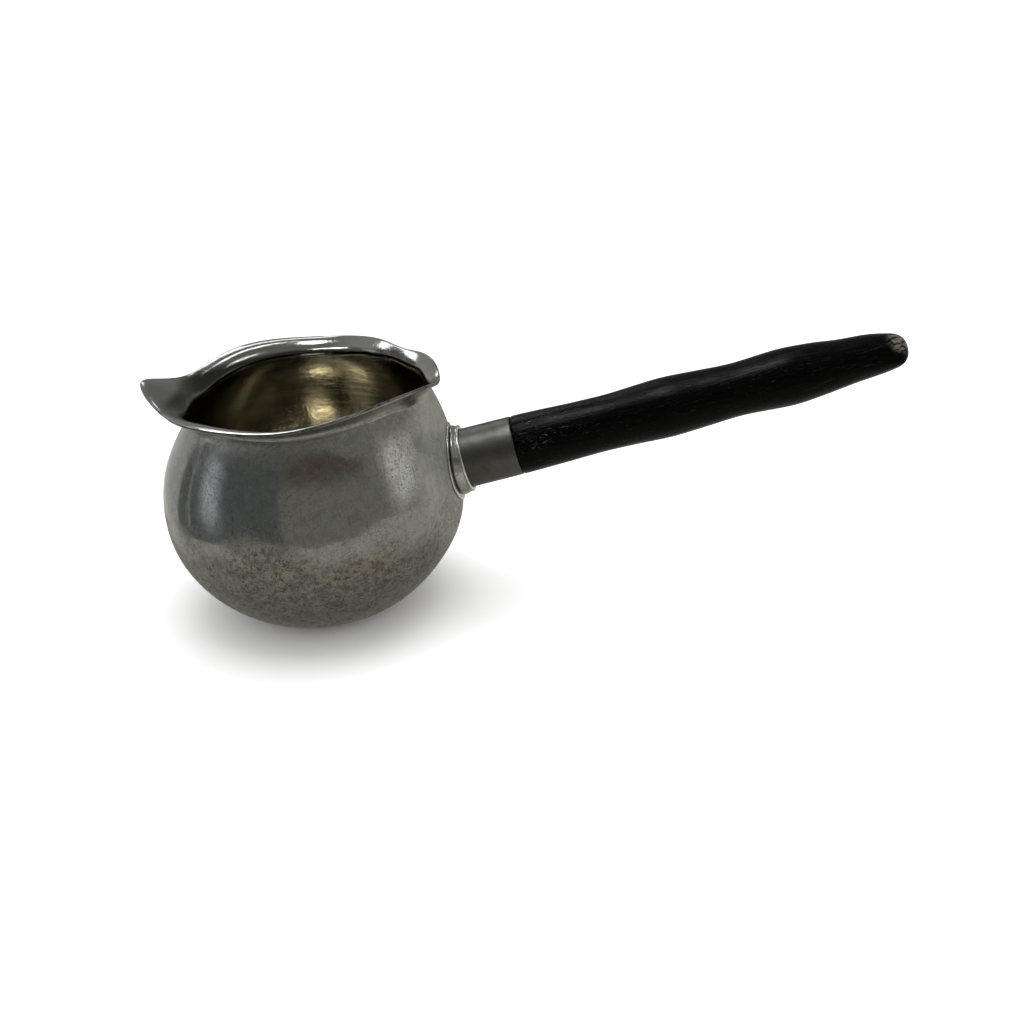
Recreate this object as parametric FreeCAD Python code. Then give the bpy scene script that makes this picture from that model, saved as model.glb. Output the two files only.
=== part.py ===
import FreeCAD
import Part
import math
import os

# A small melting pot: a thin plated bowl with a wide pouring lip, and a turned wooden handle that is
# pinned into a metal ferrule on its side.
#
# Millimetres and degrees. +Z is up and the bowl's axis is Z. The origin is the middle of the flat base.
# The handle points along +X and the pouring lip along -X, so the XZ plane is the plane of symmetry.

# Bowl, below its neck: a body of revolution
BELLY_RADIUS = 44.0
BELLY_HEIGHT = 32.8
BASE_RADIUS = 18.5
NECK_RADIUS = 36.5
NECK_HEIGHT = 64.4
NECK_LEAN = 0.67        # how far the wall closes in for each millimetre it rises into the neck
HEEL_PULL = 7.1         # Bezier handles: how far each end of a wall curve keeps its direction
BELLY_PULL_DOWN = 18.8
BELLY_PULL_UP = 13.6
NECK_PULL = 6.6
SHOULDER_SHARE = 0.05   # share of the upper wall curve that stays round; the neck is felt above it
WALL = 1.1
FLOOR = 1.7

# Bowl, from its neck up: half of the mouth, from over the handle (0) round to the pouring lip (180).
# Each station is angle, lip edge radius, lip edge height, the lip's rise in degrees at its edge, and
# neck radius, neck height.
MOUTH_STATIONS = [
    (0, 40.0, 69.3, 12, 36.4, 64.4),
    (20, 38.6, 72.2, 35, 35.8, 65.6),
    (38, 34.9, 72.0, 62, 34.0, 66.2),
    (60, 36.7, 72.0, 42, 35.2, 65.3),
    (75, 38.3, 71.0, 20, 36.1, 64.6),
    (92, 39.5, 69.9, 10, 36.5, 64.4),
    (125, 41.0, 69.8, 8, 36.2, 64.2),
    (150, 39.9, 67.7, 14, 35.0, 62.8),
    (161, 41.0, 67.2, 22, 34.2, 62.2),
    (171, 44.4, 69.2, 26, 33.6, 61.7),
    (180, 47.0, 71.6, 26, 33.4, 61.5),
]
LIP_THICKNESS = 1.0
FLARE_PULL_FOOT = 0.3   # shares of the flare's length that keep the wall's and the lip's direction
FLARE_PULL_LIP = 0.5
MOUTH_COLUMNS = 72      # columns of poles around the bowl

# Handle. Distances run along its axis from the bowl's axis.
HANDLE_HEIGHT = 33.25
HANDLE_TILT = 13.8
PLATE_RADIUS = 11.6
PLATE_THICKNESS = 0.6
COLLAR_END = 47.6
COLLAR_RADIUS = 10.1    # at its front; it widens towards the bowl
COLLAR_WIDENING = 0.3   # added radius for each millimetre nearer to the bowl
COLLAR_ROUND = 0.8
FERRULE_END = 62.9
FERRULE_RADIUS = 8.8
FERRULE_WALL = 0.8
FERRULE_BORE_START = 45.8
SOLDER_GAP = 0.05       # clearance of the soldered and the glued joints
INSIDE_BELLY = 38.0     # a distance along the axis that is well inside the bowl's wall

# Grip: stations of distance along the axis and radius. It swells twice and tapers to a round tip.
GRIP_STATIONS = [
    (63.0, 8.8),
    (75.0, 8.5),
    (88.5, 8.15),
    (98.5, 8.4),
    (108.3, 8.8),
    (117.5, 8.3),
    (127.6, 7.7),
    (136.0, 8.1),
    (143.4, 8.5),
    (151.0, 7.85),
    (159.5, 6.85),
    (168.0, 6.2),
    (174.2, 4.9),
    (177.2, 0.0),
]
GRIP_SHOULDER_CHAMFER = 0.3

# Brads that pin the grip in the ferrule: angle round the handle, from the side (-Y) towards the top
BRAD_ANGLES = (0.0, -24.0)
BRAD_DISTANCE = 60.0
BRAD_RADIUS = 0.6
BRAD_LENGTH = 5.5
BRAD_SUNK = 0.15        # how far the brad's end lies below the ferrule's surface

AXIS_ORIGIN = FreeCAD.Vector(0, 0, 0)
AXIS_X = FreeCAD.Vector(1, 0, 0)
AXIS_Y = FreeCAD.Vector(0, 1, 0)
AXIS_Z = FreeCAD.Vector(0, 0, 1)


def step_from(point, direction, length):
    """The point at a length from another, both (radius, height), along a direction in degrees."""
    angle = math.radians(direction)
    return (point[0] + length * math.cos(angle), point[1] + length * math.sin(angle))


def halfway(a, b, share):
    """The point at a share of the way from a to b."""
    return (a[0] + (b[0] - a[0]) * share, a[1] + (b[1] - a[1]) * share)


def split_curve(curve, share):
    """The two Bezier curves that a Bezier curve splits into at a share of its length."""
    first = [curve[0]]
    last = [curve[-1]]
    points = curve
    while len(points) > 1:
        points = [halfway(a, b, share) for a, b in zip(points, points[1:])]
        first.append(points[0])
        last.append(points[-1])
    return first, last[::-1]


def mouth_at(angle):
    """Lip edge (radius, height), lip rise and neck (radius, height) at an angle from the handle.

    Each value follows a cubic through the stations, with the slope of the two stations beside it.
    """
    angle = abs((angle + 180.0) % 360.0 - 180.0)
    count = len(MOUTH_STATIONS)
    after = next(i for i in range(1, count) if angle <= MOUTH_STATIONS[i][0])

    def slope(i, column):
        if i in (0, count - 1):
            return 0.0
        low, high = MOUTH_STATIONS[i - 1], MOUTH_STATIONS[i + 1]
        return (high[column] - low[column]) / (high[0] - low[0])

    start, end = MOUTH_STATIONS[after - 1], MOUTH_STATIONS[after]
    span = end[0] - start[0]
    t = (angle - start[0]) / span
    values = []
    for column in range(1, len(start)):
        leave = slope(after - 1, column) * span
        arrive = slope(after, column) * span
        values.append((2 * t**3 - 3 * t**2 + 1) * start[column] + (t**3 - 2 * t**2 + t) * leave
                      + (3 * t**2 - 2 * t**3) * end[column] + (t**3 - t**2) * arrive)
    lip_radius, lip_height, rise, neck_radius, neck_height = values
    return (lip_radius, lip_height), rise, (neck_radius, neck_height)


def lower_wall(inset, floor):
    """Curve of the wall from the base to the belly, set in by the wall's thickness."""
    reach = (BELLY_RADIUS - inset - BASE_RADIUS) / (BELLY_RADIUS - BASE_RADIUS)
    rise = (BELLY_HEIGHT - floor) / BELLY_HEIGHT
    return [(BASE_RADIUS, floor),
            (BASE_RADIUS + HEEL_PULL * reach, floor),
            (BELLY_RADIUS - inset, BELLY_HEIGHT - BELLY_PULL_DOWN * rise),
            (BELLY_RADIUS - inset, BELLY_HEIGHT)]


def upper_wall(inset):
    """Curve of the wall from the belly to the neck, set in by the wall's thickness."""
    tilt = math.atan(NECK_LEAN)
    neck = (NECK_RADIUS - inset * math.cos(tilt), NECK_HEIGHT - inset * math.sin(tilt))
    return [(BELLY_RADIUS - inset, BELLY_HEIGHT),
            (BELLY_RADIUS - inset, BELLY_HEIGHT + BELLY_PULL_UP),
            (neck[0] + NECK_LEAN * NECK_PULL, neck[1] - NECK_PULL),
            neck]


def flare(neck, edge, rise):
    """Curve of the flare: it leaves the neck as the wall does and opens like a trumpet to the lip."""
    length = math.hypot(edge[0] - neck[0], edge[1] - neck[1])
    wall_rise = 90 + math.degrees(math.atan(NECK_LEAN))
    return [neck,
            step_from(neck, wall_rise, FLARE_PULL_FOOT * length),
            step_from(edge, rise, -FLARE_PULL_LIP * length),
            edge]


def wall_curves(angle):
    """The bowl's wall at an angle, as Bezier curves from the base up, over the lip and down inside."""
    lip, rise, neck = mouth_at(angle)
    half = LIP_THICKNESS / 2
    middle = step_from(lip, rise, -half)
    under, over = step_from(middle, rise - 90, half), step_from(middle, rise + 90, half)
    outer_round, outer_neck = split_curve(upper_wall(0), SHOULDER_SHARE)
    inner_round, inner_neck = split_curve(upper_wall(WALL), SHOULDER_SHARE)
    shift = (neck[0] - NECK_RADIUS, neck[1] - NECK_HEIGHT)
    for curve in (outer_neck, inner_neck):
        curve[2:] = [(point[0] + shift[0], point[1] + shift[1]) for point in curve[2:]]
    reach = 4 / 3 * half
    lip_round = [under, step_from(under, rise, reach), step_from(over, rise, reach), over]
    return [lower_wall(0, 0), outer_round, outer_neck, flare(outer_neck[-1], under, rise), lip_round,
            flare(inner_neck[-1], over, rise)[::-1], inner_neck[::-1], inner_round[::-1],
            lower_wall(WALL, FLOOR)[::-1]]


def wall_band(columns):
    """A face all the way round the bowl, from one Bezier curve of the wall for each column."""
    step = 2 * math.pi / len(columns)
    swell = 3 / (2 + math.cos(step))
    poles = []
    for i, curve in enumerate(columns):
        poles.append([FreeCAD.Vector(r * swell * math.cos(i * step), r * swell * math.sin(i * step), z)
                      for r, z in curve])
    surface = Part.BSplineSurface()
    surface.buildFromPolesMultsKnots(poles, [1] * (len(columns) + 1), [4, 4],
                                     list(range(len(columns) + 1)), [0, 1], True, False, 3, 3)
    return surface.toShape()


def round_edge(face, height):
    """The edge of a wall band that lies flat at a height."""
    return next(edge for edge in face.Edges
                if abs(edge.BoundBox.ZMin - height) < 1e-6 and abs(edge.BoundBox.ZMax - height) < 1e-6)


def bowl():
    """The bowl: one sheet of metal, from the flat base to the rolled edge of its mouth."""
    by_column = [wall_curves(i * 360.0 / MOUTH_COLUMNS) for i in range(MOUTH_COLUMNS)]
    faces = [wall_band(list(columns)) for columns in zip(*by_column)]
    base = Part.Face(Part.Wire(round_edge(faces[0], 0)))
    floor = Part.Face(Part.Wire(round_edge(faces[-1], FLOOR)))
    skin = Part.Compound(faces + [base, floor])
    skin.sewShape()
    solid = Part.Solid(skin.Shells[0])
    if solid.Volume < 0:
        solid.reverse()
    return solid


def belly_core(grow):
    """The solid inside the bowl's outer surface up to the neck, grown by a thickness."""
    curves = []
    for points in (lower_wall(-grow, 0), upper_wall(-grow)):
        curve = Part.BezierCurve()
        curve.setPoles([FreeCAD.Vector(r, 0, z) for r, z in points])
        curves.append(curve.toShape())
    start, end = curves[0].Vertexes[0].Point, curves[1].Vertexes[-1].Point
    top = Part.makeLine(end, FreeCAD.Vector(0, 0, end.z))
    middle = Part.makeLine(FreeCAD.Vector(0, 0, end.z), AXIS_ORIGIN)
    bottom = Part.makeLine(AXIS_ORIGIN, start)
    return Part.Face(Part.Wire(curves + [top, middle, bottom])).revolve(AXIS_ORIGIN, AXIS_Z, 360)


def on_handle(shape):
    """Move a shape that is drawn along X on to the handle's axis."""
    shape.rotate(AXIS_ORIGIN, AXIS_Y, -HANDLE_TILT)
    shape.translate(FreeCAD.Vector(0, 0, HANDLE_HEIGHT))
    return shape


def rod(start, end, radius):
    """A round bar on the handle's axis."""
    return on_handle(Part.makeCylinder(radius, end - start, FreeCAD.Vector(start, 0, 0), AXIS_X))


def turned(wires):
    """Turn a closed outline of (distance, radius) edges about the handle's axis."""
    return on_handle(Part.Face(Part.Wire(wires)).revolve(AXIS_ORIGIN, AXIS_X, 360))


def outline(points):
    """Straight edges through (distance, radius) points."""
    corners = [FreeCAD.Vector(distance, 0, radius) for distance, radius in points]
    return [Part.makeLine(a, b) for a, b in zip(corners, corners[1:])]


def saddle_plate():
    """The round plate, bent to the belly, that carries the handle's socket."""
    disc = rod(INSIDE_BELLY, COLLAR_END, PLATE_RADIUS)
    shell = belly_core(SOLDER_GAP + PLATE_THICKNESS).cut(belly_core(SOLDER_GAP))
    return shell.common(disc)


def socket_collar():
    """The ring round the ferrule's foot, scribed to the saddle plate, with a rounded front edge."""
    bore = FERRULE_RADIUS + SOLDER_GAP
    back_radius = COLLAR_RADIUS + COLLAR_WIDENING * (COLLAR_END - INSIDE_BELLY)
    corner = COLLAR_END - COLLAR_ROUND
    flat = COLLAR_RADIUS - COLLAR_ROUND
    middle = FreeCAD.Vector(corner + COLLAR_ROUND * math.cos(math.radians(45)), 0,
                            flat + COLLAR_ROUND * math.sin(math.radians(45)))
    rounding = Part.Arc(FreeCAD.Vector(COLLAR_END, 0, flat), middle,
                        FreeCAD.Vector(corner, 0, COLLAR_RADIUS)).toShape()
    front = outline([(INSIDE_BELLY, bore), (COLLAR_END, bore), (COLLAR_END, flat)])
    back = outline([(corner, COLLAR_RADIUS), (INSIDE_BELLY, back_radius), (INSIDE_BELLY, bore)])
    return turned(front + [rounding] + back).cut(belly_core(2 * SOLDER_GAP + PLATE_THICKNESS))


def brads():
    """The two small pins through the ferrule's wall into the grip's tenon."""
    pins = []
    for angle in BRAD_ANGLES:
        pin = Part.makeCylinder(BRAD_RADIUS, BRAD_LENGTH,
                                FreeCAD.Vector(BRAD_DISTANCE, BRAD_SUNK - FERRULE_RADIUS, 0), AXIS_Y)
        pin.rotate(AXIS_ORIGIN, AXIS_X, -angle)
        pins.append(on_handle(pin))
    return Part.Compound(pins)


def ferrule(pins):
    """The tube that holds the wooden grip, closed by the saddle plate at its foot."""
    tube = rod(INSIDE_BELLY, FERRULE_END, FERRULE_RADIUS)
    tube = tube.cut(rod(INSIDE_BELLY, FERRULE_END, FERRULE_RADIUS - FERRULE_WALL))
    tube = tube.cut(belly_core(2 * SOLDER_GAP + PLATE_THICKNESS))
    return tube.cut(pins)


def handle_grip(pins):
    """The turned wooden grip, with the tenon that fills the ferrule."""
    tenon = FERRULE_RADIUS - FERRULE_WALL - SOLDER_GAP
    shoulder = GRIP_STATIONS[0][1]
    start = (FERRULE_END + GRIP_SHOULDER_CHAMFER, shoulder)
    body = [FreeCAD.Vector(distance, 0, radius) for distance, radius in [start] + GRIP_STATIONS[1:]]
    curve = Part.BSplineCurve()
    curve.interpolate(Points=body, InitialTangent=AXIS_X * 10, FinalTangent=AXIS_Z * -10)
    foot = outline([(GRIP_STATIONS[-1][0], 0), (FERRULE_BORE_START, 0), (FERRULE_BORE_START, tenon),
                    (FERRULE_END, tenon), (FERRULE_END, shoulder - GRIP_SHOULDER_CHAMFER), start])
    return turned(foot + [curve.toShape()]).cut(pins)


def main():
    """Write each piece to its own file."""
    pins = brads()
    pieces = {
        "bowl": bowl(),
        "saddle_plate": saddle_plate(),
        "socket_collar": socket_collar(),
        "ferrule": ferrule(pins),
        "handle_grip": handle_grip(pins),
        "ferrule_brads": pins,
    }
    os.makedirs("parts", exist_ok=True)
    for name, shape in pieces.items():
        box = shape.BoundBox
        print(name, shape.isValid(), len(shape.Solids), round(shape.Volume, 1),
              [round(v, 2) for v in (box.XMin, box.XMax, box.YMin, box.YMax, box.ZMin, box.ZMax)])
        shape.exportStep("parts/" + name + ".step")


main()
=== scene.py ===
import logging
import math
import random
from dataclasses import dataclass, field
from enum import Enum
from typing import Callable, Iterable, Optional, Sequence

import bmesh
import bpy
from mathutils import Matrix, Vector


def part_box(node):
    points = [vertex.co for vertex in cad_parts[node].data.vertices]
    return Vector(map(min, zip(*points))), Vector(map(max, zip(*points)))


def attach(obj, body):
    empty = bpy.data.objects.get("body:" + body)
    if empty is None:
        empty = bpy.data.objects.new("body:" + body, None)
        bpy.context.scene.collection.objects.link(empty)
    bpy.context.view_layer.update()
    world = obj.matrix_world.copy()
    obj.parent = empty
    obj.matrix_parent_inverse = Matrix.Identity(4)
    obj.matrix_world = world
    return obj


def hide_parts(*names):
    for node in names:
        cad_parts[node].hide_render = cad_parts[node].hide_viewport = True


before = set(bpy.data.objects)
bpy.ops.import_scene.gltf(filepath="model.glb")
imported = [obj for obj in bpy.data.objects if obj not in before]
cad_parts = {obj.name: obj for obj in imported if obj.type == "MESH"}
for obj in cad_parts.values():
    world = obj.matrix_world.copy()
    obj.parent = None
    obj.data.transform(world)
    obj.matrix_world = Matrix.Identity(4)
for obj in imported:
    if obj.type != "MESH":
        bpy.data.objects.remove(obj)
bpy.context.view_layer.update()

log = logging.getLogger("melting_pot")

MM = 0.001
BODY = "root"

Point2 = tuple[float, float]
Colour = tuple[float, float, float, float]


class Close(Enum):
    """How the two ends of a turned outline are closed."""

    TUBE = "tube"
    SOLID = "solid"


# ---------------------------------------------------------------- modelling by hand


def deselect_everything() -> None:
    """Leave edit mode and deselect every object."""
    if bpy.context.mode != "OBJECT":
        bpy.ops.object.mode_set(mode="OBJECT")
    bpy.ops.object.select_all(action="DESELECT")


def take(piece: bpy.types.Object) -> bpy.types.Object:
    """Make a piece the only selected and the active object.

    Args:
        piece: The object to take.

    Returns:
        The same object.
    """
    deselect_everything()
    piece.select_set(True)
    bpy.context.view_layer.objects.active = piece
    return piece


def new_piece(name: str) -> bpy.types.Object:
    """Name the primitive that was just added, and its mesh."""
    piece = bpy.context.object
    piece.name = piece.data.name = name
    return piece


def edit(piece: bpy.types.Object) -> None:
    """Take a piece and open it in edit mode, selecting points."""
    take(piece)
    bpy.ops.object.mode_set(mode="EDIT")
    bpy.ops.mesh.select_mode(type="VERT")


def pick_points(piece: bpy.types.Object, test: Callable[[Vector], bool]) -> int:
    """Select, in edit mode, just the points that pass a test.

    Args:
        piece: The object that is being edited.
        test: Takes a point's place and says whether to select it.

    Returns:
        How many points are selected.
    """
    mesh = bmesh.from_edit_mesh(piece.data)
    count = 0
    for point in mesh.verts:
        chosen = test(point.co)
        point.select_set(chosen)
        count += chosen
    mesh.select_flush(True)
    mesh.select_flush(False)
    bmesh.update_edit_mesh(piece.data)
    return count


def pick_numbers(piece: bpy.types.Object, numbers: Iterable[int]) -> None:
    """Select, in edit mode, just the points with the given numbers."""
    mesh = bmesh.from_edit_mesh(piece.data)
    mesh.verts.ensure_lookup_table()
    for point in mesh.verts:
        if point.select:
            point.select_set(False)
    for number in numbers:
        mesh.verts[number].select_set(True)
    bmesh.update_edit_mesh(piece.data)


def pull(value: Sequence[float], reach: float) -> None:
    """Move the selected points, and draw the points around them softly along.

    Args:
        value: How far the selected points move.
        reach: How far away points still follow.
    """
    bpy.ops.transform.translate(value=value, use_proportional_edit=True,
                                proportional_edit_falloff="SMOOTH", proportional_size=reach)


def press_in(piece: bpy.types.Object, aim: Vector, depth: float, reach: float) -> None:
    """Press a soft dent towards Z at the point that is nearest to a place.

    Args:
        piece: The object that is being edited.
        aim: The place.
        depth: How deep the dent is.
        reach: How far away points still follow.
    """
    mesh = bmesh.from_edit_mesh(piece.data)
    nearest = min(mesh.verts, key=lambda point: (point.co - aim).length)
    pick_numbers(piece, [nearest.index])
    pull(-Vector((nearest.co.x, nearest.co.y, 0)).normalized() * depth, reach)


def agree_normals() -> None:
    """Select everything in edit mode, and make its faces agree."""
    bpy.ops.mesh.select_all(action="SELECT")
    bpy.ops.mesh.normals_make_consistent(inside=False)


def face_outwards(piece: bpy.types.Object, test: Callable[[bmesh.types.BMFace], bool],
                  outward: Vector) -> None:
    """Make an open sheet's faces agree, then flip them all if a face that is known points the wrong way.

    Args:
        piece: The object that is being edited.
        test: Says whether a face is one whose outward side is known.
        outward: The way that such a face should point.
    """
    agree_normals()
    mesh = bmesh.from_edit_mesh(piece.data)
    known = next(face for face in mesh.faces if test(face))
    if known.normal.dot(outward) < 0:
        bpy.ops.mesh.flip_normals()


def apply_modifiers(piece: bpy.types.Object) -> None:
    """Apply every modifier of a piece, in order."""
    take(piece)
    for modifier in list(piece.modifiers):
        bpy.ops.object.modifier_apply(modifier=modifier.name)


def add_subdivision(piece: bpy.types.Object, levels: int) -> None:
    """Give a piece a subdivision surface with the same levels in the view and the render."""
    modifier = piece.modifiers.new("subdivision", "SUBSURF")
    modifier.levels = levels
    modifier.render_levels = levels


def settle(piece: bpy.types.Object) -> None:
    """Put a piece's place and turn into its mesh, so that its object sits at the origin."""
    take(piece)
    bpy.ops.object.transform_apply(location=True, rotation=True, scale=True)


def smooth(piece: bpy.types.Object, degrees: float = 40.0) -> None:
    """Shade a piece smooth, except across edges that are sharper than an angle."""
    take(piece)
    bpy.ops.object.shade_smooth_by_angle(angle=math.radians(degrees))


def step_from(point: Point2, direction: float, length: float) -> Point2:
    """Go from a point of an outline in a direction.

    Args:
        point: Radius and height.
        direction: Degrees above level.
        length: How far to go.

    Returns:
        The radius and height reached.
    """
    angle = math.radians(direction)
    return (point[0] + length * math.cos(angle), point[1] + length * math.sin(angle))


def on_curve(curve: Sequence[Point2], share: float) -> Point2:
    """Find a point of a cubic Bezier curve.

    Args:
        curve: The curve's four points.
        share: 0 at its start, 1 at its end.

    Returns:
        The point at that share.
    """
    rest = 1 - share
    weights = (rest**3, 3 * rest**2 * share, 3 * rest * share**2, share**3)
    return (sum(w * p[0] for w, p in zip(weights, curve)), sum(w * p[1] for w, p in zip(weights, curve)))


def through_stations(places: Sequence[float], values: Sequence[float], where: float,
                     level_ends: bool) -> float:
    """Read a smooth curve through stations.

    Args:
        places: Where the stations are, rising.
        values: The curve's value at each.
        where: The place to read.
        level_ends: Whether the curve is level at its two ends.

    Returns:
        The value there.
    """
    last = len(places) - 1
    after = next((i for i in range(1, last) if where <= places[i]), last)
    span = places[after] - places[after - 1]
    t = (where - places[after - 1]) / span

    def slope(i: int) -> float:
        """Slope of the curve at a station."""
        if level_ends and i in (0, last):
            return 0.0
        low, high = max(i - 1, 0), min(i + 1, last)
        return (values[high] - values[low]) / (places[high] - places[low])

    return ((2 * t**3 - 3 * t**2 + 1) * values[after - 1] + (t**3 - 2 * t**2 + t) * slope(after - 1) * span
            + (3 * t**2 - 2 * t**3) * values[after] + (t**3 - t**2) * slope(after) * span)


def turn_outline(name: str, outline: Sequence[Point2], segments: int, close: Close) -> bpy.types.Object:
    """Turn an outline about Z, by adding a circle and extruding its edge from ring to ring.

    Args:
        name: The new object's name.
        outline: Distance along the axis and radius of each ring.
        segments: Points in each ring.
        close: Whether the last ring joins the first, or both ends are drawn together to a pole.

    Returns:
        The new object, in object mode, with its axis on Z.
    """
    deselect_everything()
    distance, radius = outline[0]
    bpy.ops.mesh.primitive_circle_add(vertices=segments, radius=radius, location=(0, 0, distance))
    piece = new_piece(name)
    settle(piece)
    edit(piece)
    bpy.ops.mesh.select_all(action="SELECT")
    extrude_rings(outline)
    if close is Close.SOLID:
        bpy.ops.mesh.merge(type="CENTER")
        pick_points(piece, lambda co: abs(co.z - outline[0][0]) < 1e-7
                    and abs(co.xy.length - outline[0][1]) < 1e-6)
        bpy.ops.mesh.extrude_region_move(TRANSFORM_OT_translate={"value": (0, 0, 0)})
        bpy.ops.mesh.merge(type="CENTER")
    else:
        first, last = outline[0], outline[-1]
        pick_points(piece, lambda co: any(
            abs(co.z - d) < 1e-7 and abs(co.xy.length - r) < 1e-6 for d, r in (first, last)))
        bpy.ops.mesh.select_mode(type="EDGE")
        bpy.ops.mesh.bridge_edge_loops()
        bpy.ops.mesh.select_mode(type="VERT")
    agree_normals()
    bpy.ops.object.mode_set(mode="OBJECT")
    return piece


def extrude_rings(outline: Sequence[Point2]) -> None:
    """Extrude the selected ring on through the rest of an outline of distances and radii."""
    for (distance, radius), (next_distance, next_radius) in zip(outline, outline[1:]):
        bpy.ops.mesh.extrude_region_move(
            TRANSFORM_OT_translate={"value": (0, 0, next_distance - distance)})
        ratio = next_radius / radius
        bpy.ops.transform.resize(value=(ratio, ratio, 1), center_override=(0, 0, next_distance))


# ---------------------------------------------------------------- materials


class Bench:
    """A material's node tree, with a short method for each kind of node that the finishes use."""

    def __init__(self, name: str) -> None:
        """Start a material with one metallic-roughness shader, on the object's own coordinates."""
        self.material = bpy.data.materials.new(name)
        self.material.use_nodes = True
        self.nodes = self.material.node_tree.nodes
        self.links = self.material.node_tree.links
        self.shader = self.nodes["Principled BSDF"]
        self.place = self.nodes.new("ShaderNodeTexCoord").outputs["Object"]

    def feed(self, socket: bpy.types.NodeSocket, value: object) -> None:
        """Link a socket to another, or set its value."""
        if isinstance(value, bpy.types.NodeSocket):
            self.links.new(value, socket)
        else:
            socket.default_value = value

    def mapped(self, scale: Sequence[float], turn: Sequence[float] = (0, 0, 0),
               shift: Sequence[float] = (0, 0, 0)) -> bpy.types.NodeSocket:
        """Scale, turn and shift the object's coordinates.

        Args:
            scale: Scale along each axis, after the turn.
            turn: Degrees about each axis.
            shift: Metres along each axis, before the turn.

        Returns:
            The mapped coordinates.
        """
        turned = self.nodes.new("ShaderNodeMapping")
        turned.vector_type = "TEXTURE"
        turned.inputs["Rotation"].default_value = [math.radians(a) for a in turn]
        turned.inputs["Location"].default_value = shift
        self.links.new(self.place, turned.inputs["Vector"])
        scaled = self.nodes.new("ShaderNodeMapping")
        scaled.inputs["Scale"].default_value = scale
        self.links.new(turned.outputs["Vector"], scaled.inputs["Vector"])
        return scaled.outputs["Vector"]

    def noise(self, vector: bpy.types.NodeSocket, scale: float, detail: float = 3.0,
              roughness: float = 0.5, distortion: float = 0.0) -> bpy.types.NodeSocket:
        """Make a noise pattern.

        Args:
            vector: Its coordinates.
            scale: Cells per metre.
            detail: Octaves.
            roughness: Weight of the finer octaves.
            distortion: How much it is warped.

        Returns:
            A value about 0.5.
        """
        node = self.nodes.new("ShaderNodeTexNoise")
        self.links.new(vector, node.inputs["Vector"])
        node.inputs["Scale"].default_value = scale
        node.inputs["Detail"].default_value = detail
        node.inputs["Roughness"].default_value = roughness
        node.inputs["Distortion"].default_value = distortion
        return node.outputs["Fac"]

    def window(self, value: bpy.types.NodeSocket, low: float, high: float,
               to_low: float = 0.0, to_high: float = 1.0) -> bpy.types.NodeSocket:
        """Map a value smoothly from one range to another, and hold it there outside the range."""
        node = self.nodes.new("ShaderNodeMapRange")
        node.interpolation_type = "SMOOTHSTEP"
        self.links.new(value, node.inputs["Value"])
        for name, number in (("From Min", low), ("From Max", high), ("To Min", to_low), ("To Max", to_high)):
            node.inputs[name].default_value = number
        return node.outputs["Result"]

    def maths(self, operation: str, a: object, b: object = 0.0, c: object = 0.0) -> bpy.types.NodeSocket:
        """Combine values with one operation of a Math node."""
        node = self.nodes.new("ShaderNodeMath")
        node.operation = operation
        for socket, value in zip(node.inputs, (a, b, c)):
            self.feed(socket, value)
        return node.outputs["Value"]

    def times(self, a: object, b: object) -> bpy.types.NodeSocket:
        """Multiply two values."""
        return self.maths("MULTIPLY", a, b)

    def plus(self, a: object, b: object) -> bpy.types.NodeSocket:
        """Add two values."""
        return self.maths("ADD", a, b)

    def blend(self, share: object, first: object, second: object) -> bpy.types.NodeSocket:
        """Mix two colours by a share of the second."""
        node = self.nodes.new("ShaderNodeMix")
        node.data_type = "RGBA"
        self.feed(node.inputs["Factor"], share)
        self.feed(node.inputs[6], first)
        self.feed(node.inputs[7], second)
        return node.outputs[2]

    def axis(self, vector: bpy.types.NodeSocket, letter: str) -> bpy.types.NodeSocket:
        """Take one axis, X, Y or Z, of a vector."""
        node = self.nodes.new("ShaderNodeSeparateXYZ")
        self.links.new(vector, node.inputs["Vector"])
        return node.outputs[letter]

    def length(self, vector: bpy.types.NodeSocket) -> bpy.types.NodeSocket:
        """Measure a vector's length."""
        node = self.nodes.new("ShaderNodeVectorMath")
        node.operation = "LENGTH"
        self.links.new(vector, node.inputs[0])
        return node.outputs["Value"]

    def distance(self, centre: Sequence[float]) -> bpy.types.NodeSocket:
        """Measure how far each point is from a place on the piece, in metres."""
        node = self.nodes.new("ShaderNodeVectorMath")
        node.operation = "DISTANCE"
        self.links.new(self.place, node.inputs[0])
        node.inputs[1].default_value = centre
        return node.outputs["Value"]

    def relief(self, layers: Sequence[tuple[bpy.types.NodeSocket, float]]) -> None:
        """Raise the surface by layers of height, each a value and its depth in metres."""
        normal: Optional[bpy.types.NodeSocket] = None
        for height, depth in layers:
            node = self.nodes.new("ShaderNodeBump")
            node.inputs["Strength"].default_value = 1.0
            node.inputs["Distance"].default_value = depth
            self.links.new(height, node.inputs["Height"])
            if normal is not None:
                self.links.new(normal, node.inputs["Normal"])
            normal = node.outputs["Normal"]
        self.links.new(normal, self.shader.inputs["Normal"])

    def finish(self, colour: bpy.types.NodeSocket, rough: bpy.types.NodeSocket) -> None:
        """Give the shader its colour and its roughness."""
        self.links.new(colour, self.shader.inputs["Base Color"])
        self.links.new(rough, self.shader.inputs["Roughness"])

    def glow(self, colour: bpy.types.NodeSocket, strength: float = 1.0) -> None:
        """Make the surface black and let it shine a colour."""
        self.shader.inputs["Base Color"].default_value = (0, 0, 0, 1)
        self.shader.inputs["Emission Strength"].default_value = strength
        self.links.new(colour, self.shader.inputs["Emission Color"])

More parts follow.
